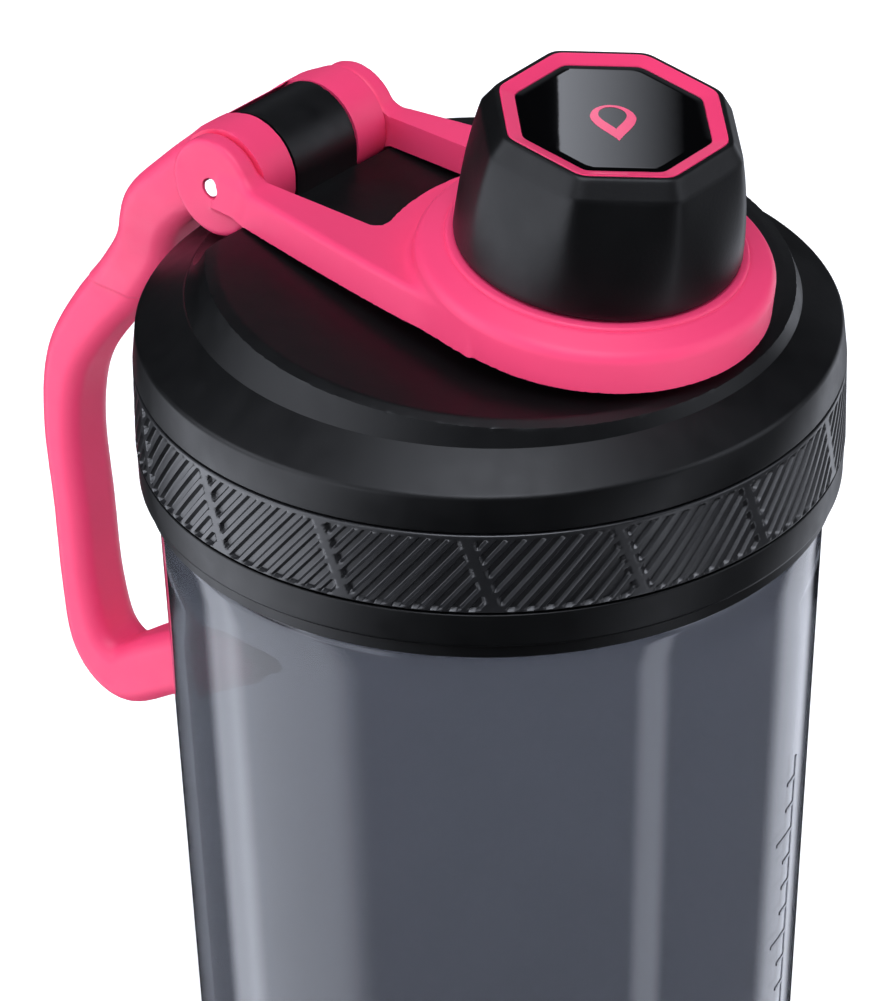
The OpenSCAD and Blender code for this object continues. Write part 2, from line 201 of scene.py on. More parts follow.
def solid(name, field, lo, hi, cell, material, body, **more):
    """A mesh of the solid where field is below 0, found between two corners by dual contouring.

    The field is first sampled once per block of cells and then finely near the surface. Each cell
    that the surface crosses gets one point, placed where the surface's tangent planes meet, so
    that sharp edges stay sharp.
    """
    probe = 0.02                            # step for the field's slope, in mm
    pull = 0.02                             # how far a point is drawn to the middle of its crossings
    lo, hi = np.array(lo, float), np.array(hi, float)
    block = 8
    n = (np.ceil((hi - lo) / cell / block).astype(int) + 1) * block
    size = n // block
    mid = [lo[k] + cell * (np.arange(size[k]) * block + (block - 1) / 2) for k in range(3)]
    centre = field(*np.meshgrid(*mid, indexing="ij"))
    value = np.empty(tuple(size) + (block,) * 3, np.float32)
    value[:] = centre[..., None, None, None]
    near = np.argwhere(np.abs(centre) < cell * block * 1.25)
    step = cell * np.arange(block)
    for part in np.array_split(near, max(1, len(near) // 400)):
        base = lo + part * (cell * block)
        x = base[:, 0, None, None, None] + step[None, :, None, None]
        y = base[:, 1, None, None, None] + step[None, None, :, None]
        z = base[:, 2, None, None, None] + step[None, None, None, :]
        x, y, z = np.broadcast_arrays(x, y, z)
        value[part[:, 0], part[:, 1], part[:, 2]] = field(x, y, z)
    value = value.transpose(0, 3, 1, 4, 2, 5).reshape(tuple(n)).astype(float)

    cells = tuple(n - 1)
    count = int(np.prod(cells))
    sums = np.zeros((count, 13))
    quads = []
    inside = value < 0
    for axis in range(3):
        a = np.moveaxis(value, axis, 0)
        s = np.moveaxis(inside, axis, 0)
        hit = np.argwhere(s[:-1] != s[1:])
        idx = np.empty_like(hit)
        order = [axis] + [k for k in range(3) if k != axis]
        for k, o in enumerate(order):
            idx[:, o] = hit[:, k]
        v0 = a[:-1][tuple(hit.T)]
        v1 = a[1:][tuple(hit.T)]
        p = lo + idx * cell
        p[:, axis] += cell * v0 / (v0 - v1)
        g = np.stack([field(*(p + shift).T) - field(*(p - shift).T) for shift in probe * np.eye(3)], -1)
        g /= np.maximum(np.linalg.norm(g, axis=1, keepdims=True), 1e-9)
        u, w = (axis + 1) % 3, (axis + 2) % 3
        corner = []
        for du, dw in ((0, 0), (1, 0), (1, 1), (0, 1)):
            c = idx.copy()
            c[:, u] -= du
            c[:, w] -= dw
            ok = np.all((c >= 0) & (c < cells), 1)
            flat = np.ravel_multi_index(np.clip(c, 0, np.array(cells) - 1).T, cells)
            corner.append(np.where(ok, flat, -1))
            q = p[ok] - (lo + (c[ok] + 0.5) * cell)
            m = g[ok]
            b = (m * q).sum(1)
            rows = np.column_stack([m[:, 0] ** 2, m[:, 1] ** 2, m[:, 2] ** 2, m[:, 0] * m[:, 1],
                                    m[:, 0] * m[:, 2], m[:, 1] * m[:, 2], m * b[:, None], q,
                                    np.ones(len(q))])
            for k in range(13):
                sums[:, k] += np.bincount(flat[ok], rows[:, k], count)
        corner = np.stack(corner, -1)
        flip = ~s[:-1][tuple(hit.T)]
        corner[flip] = corner[flip][:, ::-1]
        quads.append(corner[np.all(corner >= 0, 1)])
    quads = np.concatenate(quads)
    used = np.flatnonzero(sums[:, 12] > 0)
    sums = sums[used]
    mean = sums[:, 9:12] / sums[:, 12:]
    keep = pull * sums[:, 12]
    A = np.empty((len(used), 3, 3))
    A[:, 0, 0], A[:, 1, 1], A[:, 2, 2] = sums[:, 0] + keep, sums[:, 1] + keep, sums[:, 2] + keep
    A[:, 0, 1] = A[:, 1, 0] = sums[:, 3]
    A[:, 0, 2] = A[:, 2, 0] = sums[:, 4]
    A[:, 1, 2] = A[:, 2, 1] = sums[:, 5]
    rhs = sums[:, 6:9] + keep[:, None] * mean
    x = np.linalg.solve(A, rhs[..., None])[..., 0]
    x = np.clip(x, -0.75 * cell, 0.75 * cell)
    place = np.stack(np.unravel_index(used, cells), -1)
    verts = lo + (place + 0.5) * cell + x
    index = np.full(count, -1)
    index[used] = np.arange(len(used))
    return new_mesh(name, verts, index[quads], material, body, **more)


# ---------------------------------------------------------------- materials
def material(name, colour, rough, bump=(), tint=0.0, rough_span=0.0, **sockets):
    """A procedural plastic, rubber or metal. bump is a list of (grain size in mm, depth in mm)."""
    mat = bpy.data.materials.new(name)
    mat.use_nodes = True
    tree = mat.node_tree
    bsdf = tree.nodes["Principled BSDF"]
    bsdf.inputs["Base Color"].default_value = (*colour, 1)
    bsdf.inputs["Roughness"].default_value = rough
    for key, val in sockets.items():
        bsdf.inputs[key.replace("_", " ")].default_value = val
    coords = tree.nodes.new("ShaderNodeTexCoord")

    def noise(grain_mm, detail=3.0):
        node = tree.nodes.new("ShaderNodeTexNoise")
        node.inputs["Scale"].default_value = 1 / (grain_mm * MM)
        node.inputs["Detail"].default_value = detail
        tree.links.new(coords.outputs["Object"], node.inputs["Vector"])
        return node.outputs["Fac"]

    def spread(fac, low, high):
        node = tree.nodes.new("ShaderNodeMapRange")
        node.inputs["From Min"].default_value = 0.3
        node.inputs["From Max"].default_value = 0.7
        node.inputs["To Min"].default_value = low
        node.inputs["To Max"].default_value = high
        tree.links.new(fac, node.inputs["Value"])
        return node.outputs["Result"]

    if tint:
        mix = tree.nodes.new("ShaderNodeMix")
        mix.data_type = "RGBA"
        mix.inputs["A"].default_value = (*[c * (1 - tint) for c in colour], 1)
        mix.inputs["B"].default_value = (*[min(1, c * (1 + tint)) for c in colour], 1)
        tree.links.new(noise(9.0), mix.inputs["Factor"])
        tree.links.new(mix.outputs["Result"], bsdf.inputs["Base Color"])
    if rough_span:
        tree.links.new(spread(noise(4.0, 5.0), rough - rough_span, rough + rough_span),
                       bsdf.inputs["Roughness"])
    normal = None
    for grain, depth in bump:
        node = tree.nodes.new("ShaderNodeBump")
        node.inputs["Strength"].default_value = 1.0
        node.inputs["Distance"].default_value = depth * MM
        tree.links.new(noise(grain), node.inputs["Height"])
        if normal is not None:
            tree.links.new(normal, node.inputs["Normal"])
        normal = node.outputs["Normal"]
    if normal is not None:
        tree.links.new(normal, bsdf.inputs["Normal"])
    return mat


PINK = (0.98, 0.062, 0.185)
BLACK = (0.0022, 0.0023, 0.0026)
mat_pink = material("soft_pink", PINK, 0.46, bump=[(0.35, 0.004)], tint=0.03, rough_span=0.04,
                    Specular_IOR_Level=0.38)
mat_trim = material("trim_pink", PINK, 0.03, bump=[(3.0, 0.001)], tint=0.02)
mat_satin = material("satin_black", BLACK, 0.42, bump=[(0.4, 0.006)], tint=0.05, rough_span=0.04,
                     Specular_IOR_Level=0.38)
mat_cap = material("cap_black", BLACK, 0.44, bump=[(0.55, 0.014), (0.22, 0.006)],
                   tint=0.05, rough_span=0.03, Specular_IOR_Level=0.38)
mat_band = material("band_rubber", (0.009, 0.0092, 0.0105), 0.36, bump=[(0.5, 0.006)],
                    tint=0.08, rough_span=0.05, Specular_IOR_Level=0.8)
mat_badge = material("gloss_black", (0.002, 0.002, 0.0022), 0.01, bump=[(8.0, 0.0005)], tint=0.05)
mat_inner = material("inner_black", (0.006, 0.006, 0.0065), 0.5, bump=[(0.6, 0.008)], tint=0.08,
                     rough_span=0.05)
mat_liner = material("liner_grey", (0.10, 0.10, 0.105), 0.5, bump=[(0.6, 0.008)], tint=0.05,
                     rough_span=0.05)
mat_silicone = material("silicone", (0.55, 0.55, 0.53), 0.55, bump=[(0.4, 0.006)], tint=0.03,
                        rough_span=0.05, Subsurface_Weight=0.15, Subsurface_Scale=0.002)
mat_steel = material("steel", (0.62, 0.62, 0.64), 0.18, bump=[(1.2, 0.003)], tint=0.04,
                     rough_span=0.04, Metallic=1.0)
mat_cup = material("smoke_plastic", (0.23, 0.241, 0.272), 0.03, bump=[(30.0, 0.012)], tint=0.03,
                   Transmission_Weight=0.9, IOR=1.46, Specular_IOR_Level=0.32)

# ---------------------------------------------------------------- cup
cup_lo, cup_hi = node_box("cup")
FOOT_Z = cup_lo[2] - TOP
CUP_TOP_R = cup_hi[0]
FOOT_R = 39.0
RIM = -18.0
SHOULDER = RIM - 2.3
WALL = 1.9
NECK_R = 43.6


def cup_r(z):
    """Outer radius of the cup at a height."""
    return FOOT_R + (CUP_TOP_R - FOOT_R) * (z - FOOT_Z) / (SHOULDER - 2 - FOOT_Z)


def thread(root, crest, z0, lead, sweep, tall, start=0.0, step=4.0):
    """A ridge that winds round Z and fades at its ends; points round the axis and quads."""
    n = int(sweep / step)
    rings = []
    for i in range(n + 1):
        a = math.radians(start + i * step)
        fade = min(1.0, 0.1 + min(i, n - i) * step / 24)
        tip = root + (crest - root) * fade
        z = z0 + lead * i * step / 360
        for r, dz in ((root, -0.5), (root + 0.6 * (tip - root), -0.34), (tip, -0.2), (tip, 0.2),
                      (root + 0.6 * (tip - root), 0.34), (root, 0.5)):
            rings.append((r * math.cos(a), r * math.sin(a), z + dz * tall))
    return np.array(rings), ring_faces(n + 1, 6)


neck_in = NECK_R - WALL
cup_profile = ([(0.01, FOOT_Z), (26, FOOT_Z)] + arc(27.2, FOOT_Z, 1.2, 180, 90, 4)
               + arc(31.8, FOOT_Z, 1.2, 90, 0, 4)
               + arc(FOOT_R - 3, FOOT_Z + 3, 3, -90, 0, 8)
               + [(cup_r(z), z) for z in np.linspace(FOOT_Z + 6, SHOULDER - 5, 24)]
               + arc(CUP_TOP_R - 2, SHOULDER - 2, 2, 0, 90, 12)
               + arc(NECK_R + 0.4, SHOULDER + 0.4, 0.4, 270, 180, 4)
               + arc(NECK_R - 0.8, 0.2, 0.8, 0, 90, 6) + arc(neck_in + 0.8, 0.2, 0.8, 90, 180, 6)
               + [(neck_in, SHOULDER - 1), (neck_in + 0.25, SHOULDER - 3),
                  (cup_r(RIM - 7) - WALL - 0.2, SHOULDER - 6),
                  (cup_r(RIM - 8) - WALL, SHOULDER - 8)]
               + [(cup_r(z) - WALL, z) for z in np.linspace(SHOULDER - 11, FOOT_Z + 14, 22)]
               + arc(FOOT_R - WALL - 5.5, FOOT_Z + 10, 6, 0, -90, 8) + [(0.01, FOOT_Z + 4)])
cup = lathe("cup_wall", cup_profile, mat_cup, "cup", around=320, replaces=["cup"],
            slot="smoke_plastic", sharp=40)
parts = [thread(NECK_R - 0.3, NECK_R + 1.3, RIM + 6, 8.0, 200, 1.4, start=180 * k) for k in (0, 1)]
new_mesh("cup_thread", np.concatenate([p[0] for p in parts]),
         np.concatenate([parts[0][1], parts[1][1] + len(parts[0][0])]), mat_cup, "cup",
         slot="smoke_plastic", sharp=50)

MARK_AZ, MARK_WIDE = 21.0, 0.7              # in degrees, as are the ticks
MARK_TOP, MARK_LOW, MARK_STEP = -57.0, FOOT_Z + 34, 4.35
LONG_TICK, SHORT_TICK = 7.0, 3.5
MARK_SUNK, MARK_PROUD = -0.1, 0.12


def grid_quads(grid):
    """Quads of a grid of point numbers."""
    return np.stack([grid[:-1, :-1], grid[:-1, 1:], grid[1:, 1:], grid[1:, :-1]], -1).reshape(-1, 4)


def graduations():
    """A moulded line up the cup with ticks, a long one every 100 ml."""
    bars = [(MARK_AZ, MARK_AZ + MARK_WIDE, MARK_LOW, MARK_TOP)]
    for i, z in enumerate(np.arange(MARK_LOW, MARK_TOP + 0.1, MARK_STEP)):
        bars.append((MARK_AZ - (LONG_TICK if i % 4 == 0 else SHORT_TICK), MARK_AZ, z - 0.25, z + 0.25))
    verts, faces = [], []
    for a0, a1, z0, z1 in bars:
        across = max(2, int((a1 - a0) / 0.9) + 1)
        tall = max(2, int((z1 - z0) / 8) + 1)
        t, z = np.meshgrid(np.radians(np.linspace(a0, a1, across)), np.linspace(z0, z1, tall))
        start = len(verts)
        for proud in (MARK_SUNK, MARK_PROUD):
            verts.extend(polar(cup_r(z) + proud, t, z).reshape(-1, 3).tolist())
        low = np.arange(across * tall).reshape(tall, across) + start
        high = low + across * tall
        rim = np.concatenate([low[0, :-1], low[:-1, -1], low[-1, :0:-1], low[:0:-1, 0]])
        faces.extend(grid_quads(low)[:, ::-1].tolist())
        faces.extend(grid_quads(high).tolist())
        step = across * tall
        for a, b in zip(rim, np.roll(rim, -1)):
            faces.append([a, b, b + step, a + step])
    new_mesh("cup_graduations", verts, faces, mat_cup, "cup", slot="smoke_plastic", sharp=40)


graduations()

# ---------------------------------------------------------------- lid shell
GROOVE_R = LID_R - 1.1
CREASE_R, CREASE_Z = 41.9, 9.85
shell_profile = ([(46.4, RIM - 2.1), (47.55, RIM - 2.1), (47.7, RIM - 1.95), (47.7, RIM)]
                 + arc(LID_R - 1.0, RIM + 0.7, 0.7, -90, 0, 5)
                 + [(LID_R - 0.12, -BAND_H - 0.25)] + arc(LID_R - 0.32, -BAND_H - 0.2, 0.2, 0, 90, 3)
                 + [(GROOVE_R, -BAND_H), (GROOVE_R, 0.0)]
                 + arc(LID_R - 0.2, 0.2, 0.2, -90, 0, 3)
                 + arc(LID_R - 1.5, 4.55, 1.1, 4, 55.6, 8)
                 + arc(CREASE_R - 0.2, CREASE_Z - 0.3, 0.3, 55.6, 90, 4)
                 + [(30, CREASE_Z), (30, 5.1), (45.2, 5.1), (46.4, 3.5)])
lathe("lid_shell_body", shell_profile, mat_satin, "lid", around=384, replaces=["lid_shell"],
      slot="satin_black", sharp=40)

DECK_X, DECK_Z, DECK_R = 2.2, 14.1, 40.3
DECK_TILT = math.radians(4)
DECK_SLOPE = 0.44                           # how far its wall leans in, per mm of height
CHAMFER, CHAMFER_SLOPE = 1.6, 3.2
DECK_LOW = 6.5
BARREL_R, BARREL_W = 7.6, 6.1
SCOOP_GAP = 0.5                             # round the knuckles and lugs beside the barrel
BOSS_R, BOSS_TOP = 16.2, -8.4               # round the spout, under the cap
SPOUT_BORE_R = 12.6


def deck_field(x, y, z):
    """The lid's tilted deck with the hinge barrel, the spout's boss and the room for what turns."""
    u = (x - DECK_X) * math.cos(DECK_TILT) - (z - DECK_Z) * math.sin(DECK_TILT)
    h = (x - DECK_X) * math.sin(DECK_TILT) + (z - DECK_Z) * math.cos(DECK_TILT)
    rho = length(u, y)
    wall = (rho - DECK_R + DECK_SLOPE * (h + 0.5)) / math.hypot(1, DECK_SLOPE)
    chamfer = (rho - DECK_R + CHAMFER + h * CHAMFER_SLOPE) / math.hypot(1, CHAMFER_SLOPE)
    deck = cut(cut(wall, chamfer), h)
    deck = cut(deck, length(x, y) - LID_R + 2.6)
    rho_c, h_c = cap_space(x, y, z)
    deck = join(deck, cut(rho_c - BOSS_R, h_c - BOSS_TOP))
    hinge_d = length(x - HX, z - HZ)
    scoop = cut(hinge_d - BARREL_R - SCOOP_GAP, BARREL_W - np.abs(y))
    deck = cut(deck, -scoop)
    barrel = cut(hinge_d - BARREL_R, np.abs(y) - BARREL_W)
    block = cut(cut(HX - 6 - x, x - HX - BARREL_R), cut(np.abs(y) - BARREL_W, z - HZ))
    deck = join(deck, np.minimum(barrel, block))
    deck = cut(deck, SPOUT_BORE_R - rho_c)
    deck = cut(deck, PIN_R - hinge_d)
    return cut(deck, DECK_LOW - z)


solid("lid_shell_deck", deck_field, (-46, -45, 5.5), (47, 45, 27.5), 0.42 if FINE else 0.9,
      mat_satin, "lid", slot="satin_black", sharp=20)

# ---------------------------------------------------------------- grip band
PANEL, PITCH = 24.0, 3.0                    # from land to land and from slot to slot, in degrees
SLANT, LAND_SLANT = math.radians(50), math.radians(70)
SLOT_DEEP, SLOT_HALF, LAND_HALF = 0.55, 0.52, 0.95
BAND_LOW, BAND_HIGH = -BAND_H + BAND_GAP, -BAND_GAP
BAND_TALL = BAND_HIGH - BAND_LOW
BAND_ROUND = 0.25
MM_PER_DEG = LID_R * math.pi / 180
LAND_AT = -48.3                             # where one land starts at the band's lower edge


def lean(rise, slant):
    """How many degrees round the lid a slanted line goes over a rise in mm."""
    return rise / math.tan(slant) / MM_PER_DEG


def band_depth(angle, z):
    """How deep the band's surface lies at an angle in degrees and a height."""
    rise = z - BAND_LOW
    u = (angle - lean(rise, SLANT)) / PITCH
    slot = (np.abs(u - np.floor(u) - 0.5) * PITCH * MM_PER_DEG) * math.sin(SLANT) - SLOT_HALF
    land_at = LAND_AT - lean(rise, LAND_SLANT)
    k = (angle - land_at + PANEL / 2) % PANEL - PANEL / 2
    land = LAND_HALF - np.abs(k) * MM_PER_DEG * math.sin(LAND_SLANT)
    edge = np.maximum(z - BAND_HIGH + 0.75, BAND_LOW + 0.45 - z)
    d = cut(cut(slot, land, 0.25), edge, 0.25)
    return SLOT_DEEP * np.clip(0.5 - d / 0.2, 0, 1)


def make_band():
    """A grid of points that lean with the slots, so that the slots' edges run along its lines."""
    per_slot = np.array([0.0, 0.14, 0.27, 0.31, 0.35, 0.43, 0.5, 0.57, 0.65, 0.69, 0.73, 0.86])
    if not FINE:
        per_slot = per_slot[::2]
    base = ((np.arange(int(360 / PITCH))[:, None] + per_slot) * PITCH).ravel()
    rows = np.concatenate([[0, 0.12], np.linspace(BAND_ROUND, BAND_TALL - BAND_ROUND, 58 if FINE else 24),
                           [BAND_TALL - 0.12, BAND_TALL]])
    verts = []
    for rise in rows:
        z = BAND_LOW + rise
        angle = base + lean(rise, SLANT)
        edge = max(0.0, BAND_ROUND - min(rise, BAND_TALL - rise))
        inset = BAND_ROUND - math.sqrt(BAND_ROUND ** 2 - edge ** 2)
        verts.append(polar(LID_R - band_depth(angle, np.full_like(angle, z)) - inset, np.radians(angle), z))
    for rise in (BAND_TALL, 0):
        verts.append(polar(GROOVE_R + 0.05, np.radians(base + lean(rise, SLANT)), BAND_LOW + rise))
    return new_mesh("grip_band_ribs", np.concatenate(verts), ring_faces(len(verts), len(base), True),
                    mat_band, "lid", replaces=["grip_band"], slot="band_rubber", sharp=50)


make_band()

# ---------------------------------------------------------------- handle
handle_line = spline([(-40, 18.8, 6.2), (-47.5, 13.6, 4.9), (-54.5, 6.5, 4.7), (-59.6, -2.5, 4.4),
                      (-65.5, -10.2, 4.3), (-72.6, -18.6, 4.1), (-78.6, -28.5, 3.7),
                      (-80.4, -40, 3.3), (-79.2, -54, 3.2), (-78.1, -67, 3.3), (-75.8, -76, 3.9),
                      (-70, -79.2, 4.5), (-62, -74.7, 4.8), (-53, -69.5, 4.9), (-42, -64.5, 4.9)], 12)
handle_waist = spline([(12.3, 30), (12.3, 16), (11.9, 10), (10.3, 4), (7.4, -4), (5.4, -12), (4.7, -22),
                       (4.7, -100)], 12)
KNUCKLE = (6.5, 12.3)
TIP_GAP = 1.2
ROOM_MID, ROOM_HALF = HX + 3.7, 10.3        # under the barrel, between the knuckles


def strip_distance(x, z, line):
    """Signed distance in the XZ plane to a strip whose rows hold X, height and half thickness."""
    best = np.full(x.shape, 1e9)
    for a, b in zip(line[:-1], line[1:]):
        ex, ez = b[0] - a[0], b[1] - a[1]
        t = np.clip(((x - a[0]) * ex + (z - a[1]) * ez) / (ex * ex + ez * ez), 0, 1)
        best = np.minimum(best, length(x - a[0] - ex * t, z - a[1] - ez * t) - a[2] - (b[2] - a[2]) * t)
    return best


def handle_field(x, y, z):
    """A bent strip that widens to the two knuckles, its tip cut back to clear the cup."""
    side = strip_distance(x, z, handle_line)
    w = np.interp(z, handle_waist[::-1, 1], handle_waist[::-1, 0])
    body = cut(side, np.abs(y) - w, 2.6)
    hinge_d = length(x - HX, z - HZ)
    half = (KNUCKLE[1] - KNUCKLE[0]) / 2
    knuckle = cut(hinge_d - BARREL_R, np.abs(np.abs(y) - KNUCKLE[0] - half) - half)
    body = join(body, knuckle, 1.5)
    body = cut(body, np.abs(y) - KNUCKLE[1])
    between = np.abs(y) - KNUCKLE[0]
    room = cut(hinge_d - BARREL_R - 0.4, between)
    under = cut(cut(np.abs(x - ROOM_MID) - ROOM_HALF, between), z - HZ)
    body = cut(body, -np.minimum(room, under))
    body = cut(body, PIN_R + RUN_GAP - hinge_d)
    cone = length(x, y) - cup_r(z) - TIP_GAP
    return np.where(z < 0, cut(body, -cone, 0.8), body)


solid("carry_handle", handle_field, (-87, -14, -86), (-27, 14, 28), 0.45 if FINE else 1.0, mat_pink,
      "handle", replaces=["handle"], slot="soft_pink", sharp=45)

# ---------------------------------------------------------------- arm
ARM_Z0, ARM_Z1, ARM_DRAFT = 16.6, 21.2, 0.28
ARM_GAP, WEB_R = 12.6, 30.0                 # half width of the window and its round end
arm_edge = np.concatenate([[(HX + 1, 16.2), (-32, 16.9)],
                           spline([(-29, 18), (-12, 21), (4.5, 23.4), (17.4, 24.3)], 4)])
arm_outline = np.concatenate([arm_edge, [(17.4, -5), (HX + 1, -5)]])
RING_R, RING_LOW, RING_HOLE = 24.5, -8.0, 17.4
RING_TOP, RING_FLAT_R, RING_SLOPE = -0.8, 20.9, 0.45
RETAINER_R, RETAINER_TOP = 19.0, -5.8
LUG_R, LUG = 7.2, (12.5, 15.6)


def arm_field(x, y, z):
    """Two bars from the hinge's lugs to a leaning ring that holds the cap."""
    ay = np.abs(y)
    rho, h = cap_space(x, y, z)
    plan = (outline(x, ay, arm_outline) + (z - ARM_Z0) * ARM_DRAFT) / math.hypot(1, ARM_DRAFT)
    plate = cut(cut(plan, z - ARM_Z1, 0.9), ARM_Z0 - z)
    window = cut(ay - ARM_GAP, WEB_R - length(x - CAP_FOOT[0], y), 3.0)
    plate = cut(plate, -window)
    top = (h - RING_TOP + (rho - RING_FLAT_R) * RING_SLOPE) / math.hypot(1, RING_SLOPE)
    ring = cut(rho - RING_R, cut(top, h - RING_TOP), 1.1)
    ring = cut(ring, RING_LOW - h)
    arm = join(plate, ring, 1.2)
    hinge_d = length(x - HX, z - HZ)
    half = (LUG[1] - LUG[0]) / 2
    lug = cut(hinge_d - LUG_R, np.abs(ay - LUG[0] - half) - half, 0.75)
    arm = join(arm, lug, 1.6)
    knuckle_room = cut(hinge_d - BARREL_R - 0.3, ay - LUG[0])
    arm = cut(arm, -knuckle_room)
    arm = cut(arm, RING_HOLE - rho)
    arm = cut(arm, -cut(rho - RETAINER_R, h - RETAINER_TOP))
    return cut(arm, PIN_R + RUN_GAP - hinge_d)


solid("flip_arm", arm_field, (-46, -27, 8), (46, 27, 28), 0.36 if FINE else 0.9, mat_pink, "arm",
      replaces=["cap_arm"], slot="soft_pink", sharp=35)
lathe("arm_ring_lip", [(RING_HOLE, -4), (20.75, -4), (20.75, -1.0), (20.6, -0.75)]
      + arc(20.15, -0.75, 0.45, 0, 90, 5) + arc(RING_HOLE + 0.2, -0.5, 0.2, 90, 180, 3),
      mat_pink, "arm", on_axis=on_cap, slot="soft_pink", sharp=50)


# ---------------------------------------------------------------- cap
CAP_YAW = math.radians(1.8)                 # how far its flats are turned from the X axis
CAP_FOOT_R = 19.6
CAP_AROUND = 320                            # points round each ring


def octagon_r(theta, flat, p):
    """Radius of an octagon with rounded corners; p sets how sharp they are."""
    k = np.arange(8) * math.pi / 4 + CAP_YAW
    c = np.maximum(np.cos(theta[:, None] - k), 0)
    return flat * (c ** p).sum(1) ** (-1 / p)


def cap_piece(name, rows, mat, slot, node, sharp):
    """Rings from rows of height, round radius, octagon flat radius, share of octagon, sharpness."""
    t = full_turn(CAP_AROUND)
    rings = [polar((1 - share) * round_r + share * octagon_r(t, flat, p), t, h)
             for h, round_r, flat, share, p in rows]
    new_mesh(name, on_cap(np.concatenate(rings)), ring_faces(len(rows), CAP_AROUND), mat, "cap",
             replaces=[node], slot=slot, sharp=sharp)


CREASE_H, CREASE_FLAT, TOP_FLAT = CAP_H - 2.6, 17.0, 15.4
TRIM_FLAT, BADGE_FLAT, BADGE_TOP = 14.8, 12.65, CAP_H - 0.6
SEAT_H = BADGE_TOP - 0.9
CORNER, BADGE_CORNER = 46, 60               # sharpness of the octagons' corners

cap_rows = [(0.6, 14.5, 14, 0, 50), (0.5, 17.3, 17, 0, 50), (0.15, 18.9, 19, 0, 50),
            (0.17, 19.3, 19, 0, 50), (0.3, 19.52, 19, 0, 50)]
for s in np.linspace(0.03, 1, 30):          # from round at the foot to an octagon at the crease
    cap_rows.append((0.15 + (CREASE_H - 0.15) * s, CAP_FOOT_R - 0.45 * s,
                     CAP_FOOT_R - (CAP_FOOT_R - CREASE_FLAT) * s, s ** 1.1, 30 + 16 * s))
for s in np.linspace(0, 1, 9)[1:-1]:
    cap_rows.append((CREASE_H + (CAP_H - CREASE_H) * s, 0, CREASE_FLAT + (TOP_FLAT - CREASE_FLAT) * s,
                     1, CORNER))
cap_rows += [(h, 0, flat, 1, CORNER) for h, flat in (
    (CAP_H - 0.12, TOP_FLAT + 0.04), (CAP_H - 0.02, TOP_FLAT - 0.12), (CAP_H, TOP_FLAT - 0.25),
    (CAP_H, TRIM_FLAT + 0.08), (CAP_H - 0.08, TRIM_FLAT + 0.04), (SEAT_H, TRIM_FLAT + 0.04))]
cap_rows.append((SEAT_H, 0.01, 0, 0, 50))
cap_piece("cap_body", cap_rows, mat_cap, "satin_black", "cap_shell", 24)

trim_rows = [(h, 0, flat, 1, CORNER) for h, flat in (
    (SEAT_H, TRIM_FLAT), (CAP_H - 0.06, TRIM_FLAT), (CAP_H + 0.04, TRIM_FLAT - 0.05),
    (CAP_H + 0.07, TRIM_FLAT - 0.16), (CAP_H + 0.04, TRIM_FLAT - 0.28))]
trim_in = [(h, 0, flat, 1, BADGE_CORNER) for h, flat in (
    (SEAT_H, BADGE_FLAT + 0.05), (BADGE_TOP + 0.05, BADGE_FLAT + 0.1), (BADGE_TOP - 0.1, BADGE_FLAT + 0.05))]
cap_piece("cap_trim_frame", trim_in[:1] + trim_rows + trim_in[1:] + trim_in[:1], mat_trim,
          "trim_pink", "cap_trim", 30)

badge_rows = [(h, 0, flat, 1, BADGE_CORNER) for h, flat in (
    (SEAT_H, BADGE_FLAT), (BADGE_TOP - 0.1, BADGE_FLAT), (BADGE_TOP - 0.02, BADGE_FLAT - 0.04),
    (BADGE_TOP, BADGE_FLAT - 0.12), (BADGE_TOP, 11.5))]
cap_piece("cap_badge_plate", [(SEAT_H, 0.01, 0, 0, 50)] + badge_rows
          + [(BADGE_TOP, 6, 0, 0, 50), (BADGE_TOP, 0.01, 0, 0, 50)],
          mat_badge, "gloss_black", "cap_badge", 30)


def drop_mark():
    """The outline of a plain water drop, printed on the badge."""
    drop_r, drop_long, hole, turn = 3.1, 1.75, 0.62, math.radians(-41)
    print_top, print_low = BADGE_TOP + 0.035, BADGE_TOP - 0.02
    n = 96
    t = full_turn(n)
    pinch = np.maximum(np.cos(t), 0)
    outer = drop_r * np.column_stack([np.cos(t) * np.where(pinch > 0, drop_long, 1),
                                      np.sin(t) * (1 - 0.9 * pinch ** 1.6)])
    inner = outer * hole + (-0.7, 0)
    verts = np.concatenate([np.column_stack([p, np.full(n, h)]) for p, h in (
        (outer, print_top), (inner, print_top), (outer, print_low), (inner, print_low))])
    i = np.arange(n)
    j = (i + 1) % n
    faces = np.concatenate([np.stack([i, j, n + j, n + i], -1),
                            np.stack([2 * n + i, 2 * n + j, j, i], -1),
                            np.stack([n + i, n + j, 3 * n + j, 3 * n + i], -1)])
    c, s = math.cos(turn), math.sin(turn)
    verts[:, :2] = verts[:, :2] @ np.array([[c, s], [-s, c]])
    new_mesh("badge_mark", on_cap(verts), faces, mat_trim, "cap", slot="trim_pink")


drop_mark()

# ---------------------------------------------------------------- pin
PIN_END, PIN_AROUND = 15.5, 64
pin_end = [(0.01, PIN_END), (1.1, PIN_END), (1.38, PIN_END - 0.08), (1.48, PIN_END - 0.25)]
pin_rows = [(r, -y) for r, y in pin_end] + pin_end[::-1]
t = full_turn(PIN_AROUND)
pin_verts = np.concatenate([np.stack([HX + r * np.cos(t), np.full_like(t, y), HZ + r * np.sin(t)], -1)
                            for r, y in pin_rows])
new_mesh("pin_rod", pin_verts, ring_faces(len(pin_rows), PIN_AROUND)[:, ::-1], mat_steel, "lid",
         replaces=["hinge_pin"], slot="steel", sharp=50)

